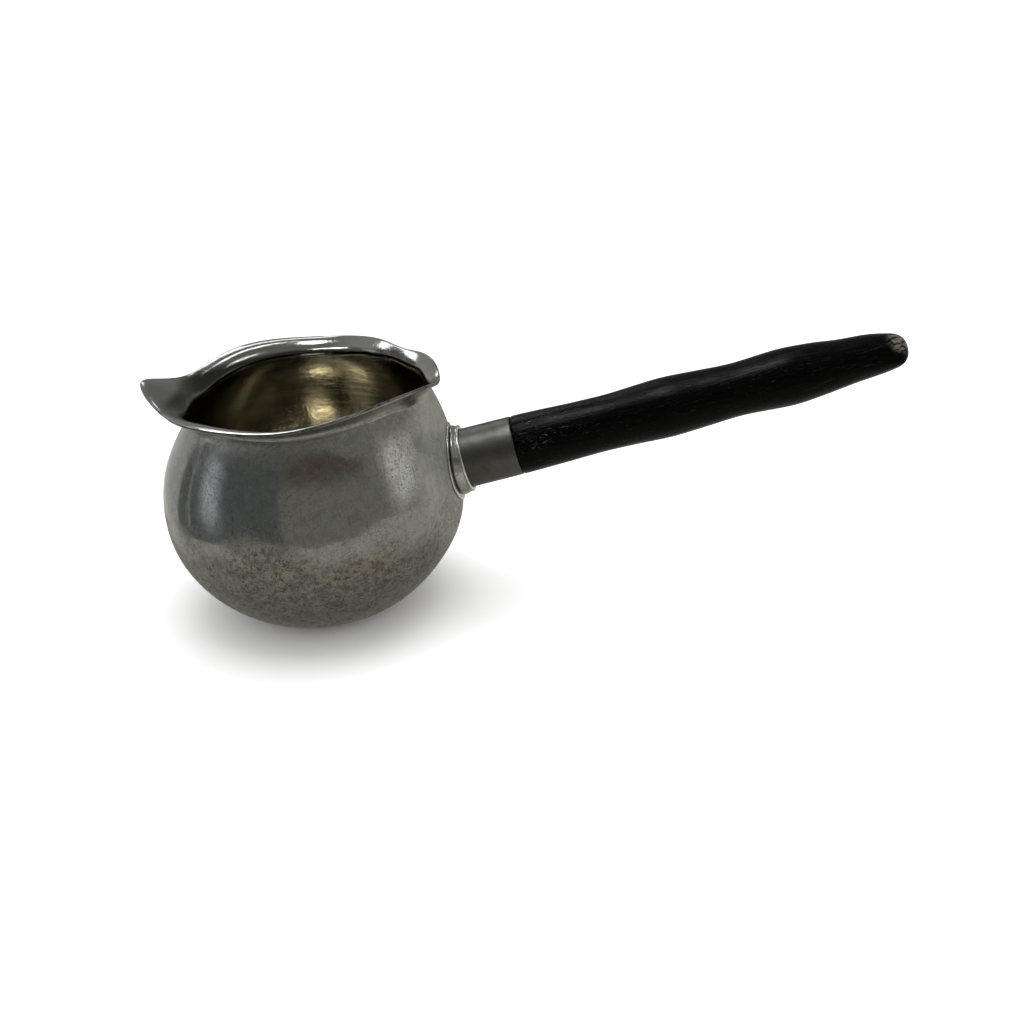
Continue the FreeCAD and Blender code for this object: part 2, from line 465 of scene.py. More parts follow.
    def scratches(self, turn: Sequence[float], cells: float, stretch: float,
                  threshold: float) -> bpy.types.NodeSocket:
        """Make fine scratches that lie about one way.

        Args:
            turn: Degrees that turn their direction away from X.
            cells: Scratches per metre across them.
            stretch: How many times longer than wide a cell is.
            threshold: Noise above which a scratch shows: higher is sparser.

        Returns:
            1 in a scratch, 0 outside.
        """
        across = self.mapped((cells / stretch, cells, cells), turn)
        return self.window(self.noise(across, 1.0, 2.0, 0.6, 0.4), threshold, threshold + 0.06)


@dataclass(frozen=True)
class AgedPlate:
    """Old silver plate: still mirror-like above, hazed and speckled with tarnish below, worn by rubbing at the
    joint.
    """

    joint: Vector
    name: str = "aged_plate"
    bright: Colour = (0.29, 0.29, 0.277, 1)
    olive: Colour = (0.265, 0.268, 0.228, 1)
    brown: Colour = (0.25, 0.23, 0.2, 1)
    tarnish: Colour = (0.07, 0.064, 0.048, 1)
    rub_and_highlight: Colour = (0.2, 0.204, 0.178, 1)
    clean_height: float = 41 * MM
    tarnish_height: float = 30 * MM
    neck_haze_height: float = 59 * MM
    rub_start: float = 17 * MM
    rub_end: float = 33 * MM
    polish: float = 0.075
    haze: float = 0.36

    def make(self) -> bpy.types.Material:
        """Build the material."""
        bench = Bench(self.name)
        height = bench.axis(bench.place, "Z")
        cloud = bench.noise(bench.place, 55, 4, 0.55, 0.6)
        edge = bench.plus(height, bench.times(bench.maths("SUBTRACT", cloud, 0.5), 34 * MM))
        low = bench.window(edge, self.clean_height, self.tarnish_height)
        blotch = bench.window(bench.noise(bench.place, 120, 5, 0.6, 0.8), 0.38, 0.62)
        mottle = bench.noise(bench.place, 420, 5, 0.65, 0.6)
        speckle = bench.window(bench.noise(bench.place, 900, 4, 0.62, 1.0), 0.52, 0.62)
        grit = bench.window(bench.noise(bench.place, 2100, 3, 0.6), 0.56, 0.66)
        stained = bench.plus(bench.times(low, 0.75), 0.16)
        spots = bench.maths("MAXIMUM", bench.times(speckle, 0.85), bench.times(grit, 0.5))
        spots = bench.times(spots, stained)
        stain = bench.blend(blotch, self.olive, self.brown)
        colour = bench.blend(bench.plus(bench.times(low, 0.7), 0.12), self.bright, stain)
        rub = bench.window(bench.distance(self.joint), self.rub_end, self.rub_start)
        rub = bench.times(rub, bench.window(bench.noise(bench.place, 240, 4, 0.6, 0.5), 0.1, 0.4))
        brushed = bench.noise(bench.mapped((500, 500, 90), (0, 25, 0)), 1.0, 4, 0.65, 0.4)
        colour = bench.blend(bench.times(rub, bench.window(brushed, 0.3, 0.7, 0.5, 1.0)), colour, self.rub_and_highlight)
        mottling = bench.times(bench.window(mottle, 0.42, 0.62), bench.plus(bench.times(low, 0.3), 0.2))
        colour = bench.blend(mottling, colour, self.tarnish)
        colour = bench.blend(spots, colour, self.tarnish)
        nicks = bench.scratches((20, 35, 60), 2600, 16, 0.62)
        lines = bench.scratches((70, -25, 15), 3200, 40, 0.62)
        arcs = bench.scratches((0, 80, -40), 2800, 26, 0.63)
        marks = bench.maths("MAXIMUM", bench.maths("MAXIMUM", nicks, lines), arcs)
        colour = bench.blend(bench.times(marks, 0.55), colour, self.tarnish)
        rough = bench.plus(bench.times(low, self.haze - self.polish), self.polish)
        rough = bench.plus(rough, bench.times(blotch, 0.03))
        rough = bench.plus(rough, bench.times(spots, 0.1))
        rough = bench.maths("MAXIMUM", rough, bench.times(rub, 0.46))
        hazy_neck = bench.window(edge, self.neck_haze_height - 4 * MM, self.neck_haze_height + 4 * MM,
                                 0.0, 0.26)
        rough = bench.maths("MAXIMUM", rough, hazy_neck)
        bench.links.new(bench.window(rub, 0.0, 1.0, 1.0, 0.45), bench.shader.inputs["Metallic"])
        bench.finish(colour, rough)
        bench.relief([(cloud, 0.12 * MM), (mottle, 0.012 * MM), (marks, -0.012 * MM), (spots, -0.012 * MM)])
        return bench.material


@dataclass(frozen=True)
class WornRim:
    """The mouth's edge, worn bright by the rubbing of cloths, with small dark nicks."""

    name: str = "rim_wear_and_highlight"
    bright: Colour = (0.14, 0.14, 0.132, 1)
    nick: Colour = (0.05, 0.047, 0.04, 1)

    def make(self) -> bpy.types.Material:
        """Build the material."""
        bench = Bench(self.name)
        bench.shader.inputs["Metallic"].default_value = 1.0
        cloud = bench.noise(bench.place, 300, 4, 0.6, 0.5)
        dark = bench.window(cloud, 0.5, 0.68)
        bench.finish(bench.blend(dark, self.bright, self.nick), bench.window(cloud, 0.3, 0.7, 0.3, 0.5))
        bench.relief([(cloud, 0.06 * MM)])
        return bench.material


@dataclass(frozen=True)
class WarmInside:
    """The inside of the bowl: plate worn through to a warm brass tint, with the fine rings of spinning."""

    name: str = "worn_inside"
    plate: Colour = (0.25, 0.25, 0.24, 1)
    brass: Colour = (0.38, 0.35, 0.265, 1)
    soot: Colour = (0.1, 0.098, 0.08, 1)
    throat: Colour = (0.05, 0.05, 0.043, 1)
    throat_height: float = 67.6 * MM
    polish: float = 0.12

    def make(self) -> bpy.types.Material:
        """Build the material."""
        bench = Bench(self.name)
        bench.shader.inputs["Metallic"].default_value = 1.0
        height = bench.axis(bench.place, "Z")
        inside = bench.window(height, self.throat_height + 0.8 * MM, self.throat_height - 0.8 * MM)
        deep = bench.window(height, self.throat_height - 2 * MM, self.throat_height - 12 * MM)
        cloud = bench.noise(bench.place, 60, 4, 0.6, 0.5)
        speck = bench.window(bench.noise(bench.place, 700, 4, 0.6, 0.8), 0.52, 0.7)
        rings = bench.noise(bench.mapped((12, 12, 1800)), 1.0, 3, 0.6)
        streaks = bench.noise(bench.mapped((70, 70, 900)), 1.0, 4, 0.65, 0.3)
        worn = bench.blend(bench.window(bench.plus(bench.times(cloud, 0.45), bench.times(streaks, 0.55)), 0.3, 0.7),
                           self.brass, self.soot)
        # Just below the throat the inside is near-black, turning to the worn brass further down.
        worn = bench.blend(deep, self.throat, worn)
        colour = bench.blend(inside, self.plate, worn)
        colour = bench.blend(bench.times(bench.times(speck, inside), 0.5), colour, self.soot)
        bench.finish(colour, bench.plus(self.polish, bench.times(bench.window(rings, 0.4, 0.7), 0.05)))
        ring_height = bench.times(rings, inside)
        bench.relief([(cloud, 0.2 * MM), (ring_height, 0.008 * MM), (speck, -0.01 * MM)])
        return bench.material


@dataclass(frozen=True)
class SatinSocket:
    """The socket's plated metal: satin, with small pits and scratches along the handle, and painted highlight lines
    on the collar's ridge and the plate's rim where they are set.
    """

    name: str
    tilt: float
    colour: Colour = (0.4, 0.4, 0.385, 1)
    grime: Colour = (0.05, 0.048, 0.042, 1)
    polish: float = 0.24
    # Distance along the axis, and from it, where the painted highlight lines begin. A metre away means nowhere.
    ridge: float = 1.0
    ridge_highlight_colour: Colour = (0.62, 0.62, 0.59, 1)
    rim: float = 1.0
    axis_height: float = 33.25 * MM

    def make(self) -> bpy.types.Material:
        """Build the material."""
        bench = Bench(self.name)
        bench.shader.inputs["Metallic"].default_value = 1.0
        along = (0, -self.tilt, 0)
        cloud = bench.noise(bench.place, 160, 4, 0.6, 0.4)
        pits = bench.window(bench.noise(bench.place, 1100, 3, 0.6, 0.6), 0.64, 0.72)
        drawn = bench.noise(bench.mapped((90, 2200, 2200), along), 1.0, 3, 0.6)
        nicks = bench.scratches((15, 50, 25), 2600, 14, 0.67)
        marks = bench.maths("MAXIMUM", pits, nicks)
        colour = bench.blend(bench.times(bench.window(cloud, 0.4, 0.75), 0.45), self.colour, self.grime)
        # Painted highlight: the collar's ridge and the plate's rim are coloured much lighter, as the bright lines
        # of light that these edges catch.
        reach = bench.axis(bench.mapped((1, 1, 1), along, (0, 0, self.axis_height)), "X")
        rub_and_highlight = bench.window(reach, self.ridge - 0.5 * MM, self.ridge - 0.2 * MM)
        outside = bench.length(bench.mapped((0, 1, 1), along, (0, 0, self.axis_height)))
        rim_wear_and_highlight = bench.window(outside, self.rim - 0.5 * MM, self.rim - 0.2 * MM)
        rub_and_highlight = bench.maths("MAXIMUM", rub_and_highlight, rim_wear_and_highlight)
        colour = bench.blend(rub_and_highlight, colour, self.ridge_highlight_colour)
        colour = bench.blend(bench.times(marks, 0.6), colour, self.grime)
        bench.finish(colour, bench.plus(self.polish, bench.times(bench.window(cloud, 0.3, 0.8), 0.14)))
        bench.relief([(cloud, 0.12 * MM), (drawn, 0.006 * MM), (marks, -0.03 * MM)])
        return bench.material


@dataclass(frozen=True)
class StainedWood:
    """Black stained wood: satin, with open grain along the handle, scuffs, and bare wood at the worn tip."""

    name: str
    tilt: float
    axis_height: float
    foot: Vector
    tip: Vector
    black: Colour = (0.0002, 0.0002, 0.00025, 1)
    worn: Colour = (0.0006, 0.0006, 0.0006, 1)
    scuff: Colour = (0.02, 0.02, 0.02, 1)
    fleck: Colour = (0.11, 0.115, 0.12, 1)
    bare: Colour = (0.12, 0.105, 0.09, 1)
    polish: float = 0.2
    specular: float = 0.06

    def make(self) -> bpy.types.Material:
        """Build the material."""
        bench = Bench(self.name)
        along = (0, -self.tilt, 0)
        grain = bench.noise(bench.mapped((70, 1500, 1500), along), 1.0, 4, 0.62, 0.3)
        pores = bench.window(bench.noise(bench.mapped((160, 2600, 2600), along), 1.0, 2, 0.5), 0.6, 0.7)
        waves = bench.noise(bench.mapped((28, 90, 90), along), 1.0, 3, 0.5)
        scuffs = bench.scratches((0, -self.tilt, 8), 3000, 30, 0.66)
        near_foot = bench.window(bench.distance(self.foot), 26 * MM, 6 * MM)
        above = bench.axis(bench.mapped((1, 1, 1), along, (0, 0, self.axis_height)), "Z")
        near_foot = bench.times(near_foot, bench.window(above, -1 * MM, 4 * MM))
        flecks = bench.times(bench.window(bench.noise(bench.mapped((900, 3600, 3600), along), 1.0, 2, 0.6),
                                          0.6, 0.7), near_foot)
        flecks = bench.times(flecks, bench.window(bench.noise(bench.place, 420, 2, 0.6), 0.4, 0.62))
        tip_wear = bench.window(bench.distance(self.tip), 4.6 * MM, 2.2 * MM)
        tip_wear = bench.times(tip_wear, bench.window(grain, 0.42, 0.56))
        colour = bench.blend(bench.window(grain, 0.45, 0.8), self.black, self.worn)
        colour = bench.blend(bench.times(scuffs, 0.5), colour, self.scuff)
        colour = bench.blend(bench.times(flecks, 0.8), colour, self.fleck)
        colour = bench.blend(bench.times(tip_wear, 0.85), colour, self.bare)
        rough = bench.plus(self.polish, bench.times(bench.window(grain, 0.35, 0.7), 0.16))
        bench.finish(colour, bench.plus(rough, bench.times(tip_wear, 0.25)))
        bench.shader.inputs["Specular IOR Level"].default_value = self.specular
        bench.relief([(waves, 0.5 * MM), (grain, 0.08 * MM), (pores, -0.05 * MM), (scuffs, -0.02 * MM)])
        return bench.material


@dataclass(frozen=True)
class DarkPin:
    """The dull, nearly black end of an oxidised pin."""

    name: str = "dark_pin"
    oxide: Colour = (0.012, 0.011, 0.01, 1)
    brown: Colour = (0.05, 0.045, 0.038, 1)

    def make(self) -> bpy.types.Material:
        """Build the material."""
        bench = Bench(self.name)
        bench.shader.inputs["Metallic"].default_value = 0.8
        cloud = bench.noise(bench.place, 1500, 3, 0.6)
        colour = bench.blend(cloud, self.oxide, self.brown)
        bench.finish(colour, bench.window(cloud, 0.2, 0.8, 0.45, 0.7))
        bench.relief([(cloud, 0.05 * MM)])
        return bench.material


# ---------------------------------------------------------------- the bowl


@dataclass(frozen=True)
class MouthStation:
    """The bowl's mouth at one angle from the handle, the same on both sides."""

    angle: float
    lip_radius: float
    lip_height: float
    rise: float
    neck_radius: float
    neck_height: float


@dataclass
class Bowl:
    """The bowl: one sheet of metal with a flat base, a pulled pouring lip and a kink over the handle."""

    belly_radius: float
    belly_height: float = 32.8 * MM
    base_radius: float = 18.5 * MM
    neck_radius: float = 36.5 * MM
    neck_height: float = 64.4 * MM
    neck_lean: float = 0.67
    heel_pull: float = 7.1 * MM
    pull_down: float = 18.8 * MM
    pull_up: float = 13.6 * MM
    neck_pull: float = 6.6 * MM
    round_share: float = 0.05
    flare_foot: float = 0.15
    flare_lip: float = 0.68
    wall: float = 1.05 * MM
    lip_set_back: float = 0.25 * MM
    swell: float = 0.9 * MM
    columns: int = 72
    rings_low: Sequence[float] = (0.08, 0.2, 0.34, 0.48, 0.62, 0.76, 0.88, 1.0)
    rings_high: Sequence[float] = (0.14, 0.28, 0.42, 0.56, 0.68, 0.78, 0.87, 0.94, 1.0)
    rings_flare: Sequence[float] = (0.14, 0.28, 0.42, 0.56, 0.7, 0.83, 0.93, 1.0)
    stations: Sequence[MouthStation] = field(default_factory=lambda: [
        MouthStation(0, 40.0, 69.3, 12, 36.4, 64.4),
        MouthStation(20, 38.6, 72.2, 35, 35.8, 66.2),
        MouthStation(38, 34.9, 72.0, 62, 34.0, 67.4),
        MouthStation(60, 36.7, 72.0, 44, 34.6, 66.8),
        MouthStation(75, 38.3, 71.0, 18, 35.1, 66.4),
        MouthStation(92, 39.5, 69.9, -4, 35.1, 65.9),
        MouthStation(125, 41.0, 69.8, -8, 35.0, 65.6),
        MouthStation(150, 39.9, 67.7, 2, 34.6, 63.2),
        MouthStation(161, 41.0, 67.2, 10, 34.2, 62.2),
        MouthStation(171, 44.4, 69.2, 14, 33.6, 61.7),
        MouthStation(180, 47.0, 71.6, 17, 33.4, 61.5),
    ])

    def station_at(self, angle: float) -> MouthStation:
        """Find the mouth's shape at any angle, by a smooth curve through the stations.

        Args:
            angle: Degrees from the handle, either way.

        Returns:
            The mouth there, in metres.
        """
        angle = abs((angle + 180) % 360 - 180)
        angles = [station.angle for station in self.stations]
        found = {}
        for name in ("lip_radius", "lip_height", "rise", "neck_radius", "neck_height"):
            values = [getattr(station, name) for station in self.stations]
            value = through_stations(angles, values, angle, level_ends=True)
            found[name] = value if name == "rise" else value * MM
        return MouthStation(angle, **found)

    def lower_wall(self) -> list[Point2]:
        """Curve of the wall from the base to the belly."""
        return [(self.base_radius, 0), (self.base_radius + self.heel_pull, 0),
                (self.belly_radius, self.belly_height - self.pull_down),
                (self.belly_radius, self.belly_height)]

    def upper_wall(self, mouth: MouthStation) -> list[Point2]:
        """Curve of the wall from the belly to the neck, at one place of the mouth."""
        neck = (mouth.neck_radius, mouth.neck_height)
        return [(self.belly_radius, self.belly_height),
                (self.belly_radius, self.belly_height + self.pull_up),
                (neck[0] + self.neck_lean * self.neck_pull, neck[1] - self.neck_pull), neck]

    def flare(self, mouth: MouthStation) -> list[Point2]:
        """Curve of the flare from the neck to the lip's edge."""
        neck, edge = (mouth.neck_radius, mouth.neck_height), (mouth.lip_radius, mouth.lip_height)
        lip = step_from(step_from(edge, mouth.rise, -self.lip_set_back), mouth.rise - 90, self.wall / 2)
        length = math.dist(neck, lip)
        wall_rise = 90 + math.degrees(math.atan(self.neck_lean))
        return [neck, step_from(neck, wall_rise, self.flare_foot * length),
                step_from(lip, mouth.rise, -self.flare_lip * length), lip]

    def column(self, angle: float) -> list[Point2]:
        """Every ring's radius and height at one angle, from the base's edge to the lip.

        The neck's shape at an angle is felt more and more towards the neck.
        """
        mouth = self.station_at(angle)
        plain = MouthStation(angle, 0, 0, 0, self.neck_radius, self.neck_height)
        points = [(self.base_radius, 0.0)]
        points += [on_curve(self.lower_wall(), share) for share in self.rings_low]
        for share in self.rings_high:
            t = max(0.0, (share - self.round_share) / (1 - self.round_share))
            felt = t**2 * (3 - 2 * t)
            there = on_curve(self.upper_wall(plain), share)
            points.append((there[0] + felt * (mouth.neck_radius - self.neck_radius),
                           there[1] + felt * (mouth.neck_height - self.neck_height)))
        points += [on_curve(self.flare(mouth), share) for share in self.rings_flare]
        return points

    def build(self) -> bpy.types.Object:
        """Model the bowl as one open sheet, ring by ring, then shape its mouth, swell it under the handle and dent
        it.
        """
        deselect_everything()
        plain = self.column(90)
        bpy.ops.mesh.primitive_circle_add(vertices=self.columns, radius=plain[0][0])
        piece = new_piece("pot_bowl")
        edit(piece)
        bpy.ops.mesh.select_all(action="SELECT")
        extrude_rings([(height, radius) for radius, height in plain])
        self.close_base(piece)
        self.shape_mouth(piece, plain)
        self.swell_under_handle(piece)
        self.dent(piece)
        face_outwards(piece, lambda face: face.calc_center_median().z < 1e-6, Vector((0, 0, -1)))
        bpy.ops.object.mode_set(mode="OBJECT")
        return piece

    def close_base(self, piece: bpy.types.Object) -> None:
        """Draw the base's edge in to its middle, in flat rings."""
        ring = self.base_radius
        pick_points(piece, lambda co: co.z < 1e-6)
        for share in (0.85, 0.55, 0.25):
            bpy.ops.mesh.extrude_region_move(TRANSFORM_OT_translate={"value": (0, 0, 0)})
            ratio = share * self.base_radius / ring
            bpy.ops.transform.resize(value=(ratio, ratio, 1), center_override=(0, 0, 0))
            ring *= ratio
        bpy.ops.mesh.extrude_region_move(TRANSFORM_OT_translate={"value": (0, 0, 0)})
        bpy.ops.mesh.merge(type="CENTER")

    def shape_mouth(self, piece: bpy.types.Object, plain: Sequence[Point2]) -> None:
        """Pull each pair of points of the mouth's rings out or in, and up or down, to its station."""
        mesh = bmesh.from_edit_mesh(piece.data)
        first = next(i for i, (_, height) in enumerate(plain) if height > self.belly_height + MM)
        by_ring: dict[int, list[int]] = {}
        for point in mesh.verts:
            for ring in range(first, len(plain)):
                radius, height = plain[ring]
                if abs(point.co.z - height) < 1e-6 and abs(point.co.xy.length - radius) < 1e-6:
                    by_ring.setdefault(ring, []).append(point.index)
        places = {point.index: point.co.copy() for point in mesh.verts}
        for ring, numbers in by_ring.items():
            radius, height = plain[ring]
            pairs: dict[int, list[int]] = {}
            for number in numbers:
                angle = abs(math.degrees(math.atan2(places[number].y, places[number].x)))
                pairs.setdefault(round(angle * self.columns / 360), []).append(number)
            for place, pair in pairs.items():
                target_radius, target_height = self.column(place * 360 / self.columns)[ring]
                pick_numbers(piece, pair)
                ratio = target_radius / radius
                bpy.ops.transform.resize(value=(ratio, ratio, 1), center_override=(0, 0, height))
                bpy.ops.transform.translate(value=(0, 0, target_height - height))

    def swell_under_handle(self, piece: bpy.types.Object) -> None:
        """Pull the belly out a little under the handle's root, where the handle's weight has drawn it."""
        root = Vector((self.belly_radius, 0, self.belly_height - 3 * MM))
        pick_points(piece, lambda co: (co - root).length < 4.5 * MM)
        pull((self.swell, 0, 0), 20 * MM)

    def dent(self, piece: bpy.types.Object) -> None:
        """Press a few shallow dents of use into the belly, clear of the handle."""
        dice = random.Random(7)
        for _ in range(16):
            angle = math.radians(dice.uniform(50, 310))
            height = dice.uniform(12, 56) * MM
            depth = dice.uniform(0.06, 0.16) * MM
            aim = Vector((self.belly_radius * math.cos(angle), self.belly_radius * math.sin(angle), height))
            press_in(piece, aim, depth, dice.uniform(9, 15) * MM)

    def thicken(self, piece: bpy.types.Object) -> None:
        """Give the sheet its wall, inwards, and smooth it."""
        wall = piece.modifiers.new("wall", "SOLIDIFY")
        wall.thickness = self.wall
        wall.offset = -1
        wall.use_even_offset = True
        wall.material_offset = 1
        wall.material_offset_rim = 2
        add_subdivision(piece, 2)
        apply_modifiers(piece)
        smooth(piece, 60)

    def dress(self, piece: bpy.types.Object) -> None:
        """Put on the outer and the inner finish."""
        piece.data.materials.append(AgedPlate(joint=HandleAxis().at(self.belly_radius)).make())
        piece.data.materials.append(WarmInside().make())
        piece.data.materials.append(WornRim().make())

    def make(self) -> bpy.types.Object:
        """Build, dress and finish the bowl."""
        piece = self.build()
        self.dress(piece)
        self.thicken(piece)
        return piece


# ---------------------------------------------------------------- the handle


@dataclass
class HandleAxis:
    """The line that the socket and the grip are turned on, from the bowl's axis outwards."""

    height: float = 33.25 * MM
    tilt: float = 13.8

    def direction(self) -> Vector:
        """Which way the handle points."""
        angle = math.radians(self.tilt)
        return Vector((math.cos(angle), 0, math.sin(angle)))

    def at(self, distance: float) -> Vector:
        """The place at a distance along the axis."""
        return Vector((0, 0, self.height)) + self.direction() * distance

    def mount(self, piece: bpy.types.Object) -> None:
        """Turn a piece that is drawn along Z on to the axis, without applying the turn."""
        piece.rotation_euler = (0, math.radians(90 - self.tilt), 0)
        piece.location = (0, 0, self.height)


@dataclass
class Socket:
    """The metal that holds the grip: saddle plate, collar, ferrule and its two pins."""

    axis: HandleAxis
    plate_radius: float = 11.6 * MM
    plate_thickness: float = 0.5 * MM
    collar_end: float = 47.6 * MM
    collar_radius: float = 10.1 * MM
    collar_widening: float = 0.3
    ferrule_end: float = 62.9 * MM
    ferrule_radius: float = 8.8 * MM
    ferrule_wall: float = 0.8 * MM
    pin_angles: Sequence[float] = (0.0, -24.0)
    pin_distance: float = 60.0 * MM
    pin_radius: float = 0.6 * MM

    def fit_to_bowl(self, piece: bpy.types.Object, bowl: bpy.types.Object, group: str, gap: float) -> None:
        """Press a group of points on to the bowl along the handle's axis.

        Args:
            piece: The piece, still drawn along its own Z.
            bowl: The bowl that it sits on.
            group: The vertex group to press.
            gap: How far off the bowl's surface the points stay.
        """
        press = piece.modifiers.new("press", "SHRINKWRAP")
        press.target = bowl
        press.wrap_method = "PROJECT"
        press.use_project_z = True
        press.use_negative_direction = True
        press.use_positive_direction = False
        press.vertex_group = group
        press.offset = gap
        take(piece)
        bpy.ops.object.modifier_apply(modifier=press.name)

    def group_points(self, piece: bpy.types.Object, name: str, test: Callable[[Vector], float]) -> None:
        """Put points in a vertex group, each by a weight that its place gives."""
        group = piece.vertex_groups.new(name=name)
        for point in piece.data.vertices:
            weight = test(point.co)
            if weight > 0:
                group.add([point.index], weight, "REPLACE")

    def build_plate(self, bowl: bpy.types.Object) -> bpy.types.Object:
        """The saddle plate: a disc pressed to the belly, then given its thickness and a soft edge."""
        start = 52 * MM
        rings = [(start, self.plate_radius * share) for share in (1.0, 0.97, 0.9, 0.8, 0.7)]
        deselect_everything()
        bpy.ops.mesh.primitive_circle_add(vertices=64, radius=rings[0][1], location=(0, 0, start))
        piece = new_piece("handle_saddle_plate")
        settle(piece)
        edit(piece)
        bpy.ops.mesh.select_all(action="SELECT")
        extrude_rings(rings)
        agree_normals()
        bpy.ops.object.mode_set(mode="OBJECT")
        self.group_points(piece, "foot", lambda co: 1.0)
        self.axis.mount(piece)
        self.fit_to_bowl(piece, bowl, "foot", 0.05 * MM)
        settle(piece)
        wall = piece.modifiers.new("wall", "SOLIDIFY")
        wall.thickness = self.plate_thickness
        wall.offset = 1
        add_subdivision(piece, 2)
        apply_modifiers(piece)
        edit(piece)
        agree_normals()
        bpy.ops.object.mode_set(mode="OBJECT")
        smooth(piece, 60)
        return piece

    def build_collar(self, bowl: bpy.types.Object) -> bpy.types.Object:
        """The collar: a ring with a raised front edge, its back scribed to the saddle plate."""
        bore = self.ferrule_radius + 0.05 * MM
        end, radius = self.collar_end, self.collar_radius
        foot = end - 2.4 * MM
        outline = [(end - 0.1 * MM, bore), (end, bore + 0.15 * MM), (end, radius - 0.45 * MM),
                   (end - 0.1 * MM, radius - 0.15 * MM), (end - 0.35 * MM, radius),
                   (end - 0.65 * MM, radius - 0.05 * MM), (end - 0.85 * MM, radius - 0.22 * MM),
                   (end - 1.15 * MM, radius - 0.1 * MM),
                   (foot, radius + self.collar_widening * (end - foot)), (foot - 0.01 * MM, bore)]
        piece = turn_outline("handle_collar", outline, 72, Close.TUBE)
        self.group_points(piece, "foot", lambda co: 1.0 if co.z < foot + 1e-6 else 0.0)
        self.axis.mount(piece)
        self.fit_to_bowl(piece, bowl, "foot", self.plate_thickness)
        settle(piece)
        add_subdivision(piece, 2)
        apply_modifiers(piece)
        smooth(piece, 50)
        return piece

    def build_pins(self) -> bpy.types.Object:
        """The two pins: each is modelled and turned about the handle's axis into its place, then the two are
        joined.
        """
        pins = []
        for number, angle in enumerate(self.pin_angles):
            deselect_everything()
            bpy.ops.mesh.primitive_cylinder_add(vertices=24, radius=self.pin_radius, depth=4 * MM)
            pin = bpy.context.object
            edit(pin)
            pick_points(pin, lambda co: co.z > 0)
            bpy.ops.mesh.bevel(offset=0.12 * MM, segments=3)
            bpy.ops.object.mode_set(mode="OBJECT")
            turn = Matrix.Rotation(math.radians(angle), 4, self.axis.direction())
            out = turn @ Vector((0, -1, 0))
            middle = self.axis.at(self.pin_distance) + out * (self.ferrule_radius - 2.1 * MM)
            pin.matrix_world = Matrix.Translation(middle) @ out.to_track_quat("Z", "Y").to_matrix().to_4x4()
            settle(pin)
            pins.append(pin)
        take(pins[0])
        pins[1].select_set(True)
        bpy.ops.object.join()
        piece = new_piece("ferrule_pins")
        smooth(piece, 40)
        return piece

    def build_ferrule(self) -> bpy.types.Object:
        """The ferrule: a thin tube with softened edges."""
        outer, inner = self.ferrule_radius, self.ferrule_radius - self.ferrule_wall
        start, end = 45.4 * MM, self.ferrule_end
        soft = 0.15 * MM
        outline = [(start, inner), (start, outer), (start + 0.3 * MM, outer), (start + 4 * MM, outer),
                   (start + 9 * MM, outer - 0.03 * MM), (end - 3 * MM, outer - 0.05 * MM),
                   (end - 2 * soft, outer - 0.05 * MM), (end - 0.3 * soft, outer - soft),
                   (end, outer - 2 * soft), (end, inner + soft), (end - soft, inner)]
        piece = turn_outline("handle_ferrule", outline, 96, Close.TUBE)
        self.axis.mount(piece)
        settle(piece)
        add_subdivision(piece, 1)
        apply_modifiers(piece)
        smooth(piece, 40)
        return piece

    def make(self, bowl: bpy.types.Object) -> dict[str, bpy.types.Object]:
        """Build and dress the socket's pieces.

        Args:
            bowl: The bowl that the socket sits on.

        Returns:
            Each piece by the name of the CAD node that it stands for.
        """
        pieces = {"saddle_plate": self.build_plate(bowl), "socket_collar": self.build_collar(bowl),
                  "ferrule": self.build_ferrule(), "ferrule_brads": self.build_pins()}
        # The collar and the plate carry painted highlight lines on the collar's ridge and the plate's rim.
        bright = SatinSocket("socket_plate", self.axis.tilt, polish=0.13,
                             ridge=self.collar_end - 0.35 * MM, rim=self.plate_radius).make()
        satin = SatinSocket("ferrule_plate", self.axis.tilt, colour=(0.1, 0.1, 0.093, 1), polish=0.36).make()
        pieces["saddle_plate"].data.materials.append(bright)
        pieces["socket_collar"].data.materials.append(bright)
        pieces["ferrule"].data.materials.append(satin)
        pieces["ferrule_brads"].data.materials.append(DarkPin().make())
        return pieces


